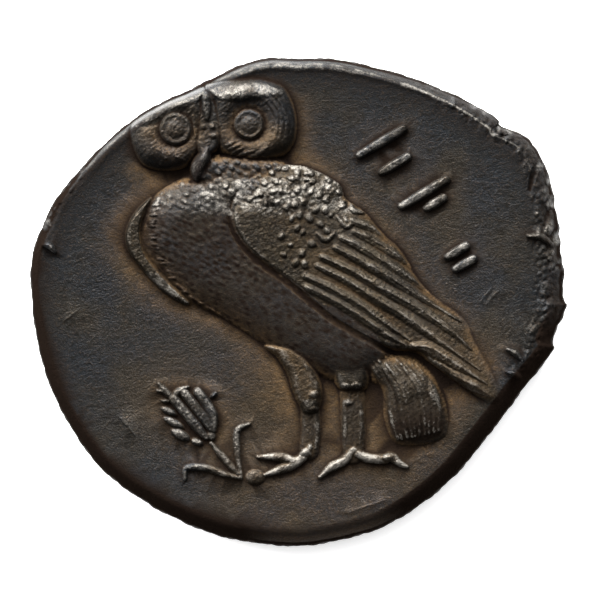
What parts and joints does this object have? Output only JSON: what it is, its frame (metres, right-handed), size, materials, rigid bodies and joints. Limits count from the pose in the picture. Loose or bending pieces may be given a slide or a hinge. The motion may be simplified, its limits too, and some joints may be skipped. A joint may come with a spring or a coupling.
{
  "type": "ancient coin",
  "caption": "Hand-struck ancient silver coin, dark with age, showing an owl and an ear of barley in relief, lying flat on its worn underside.",
  "frame": {"origin": "middle of the underside, on the table the coin lies on", "axes": "+X to the right of the picture, +Y up the picture towards the owl's head, +Z out of the face with the owl"},
  "size_m": [0.0162, 0.0146, 0.0017],
  "materials": {
    "silver": "silver toned dark grey by age, worn bright on the high points"
  },
  "bodies": {
    "root": {"coin": "silver"}
  },
  "joints": []
}
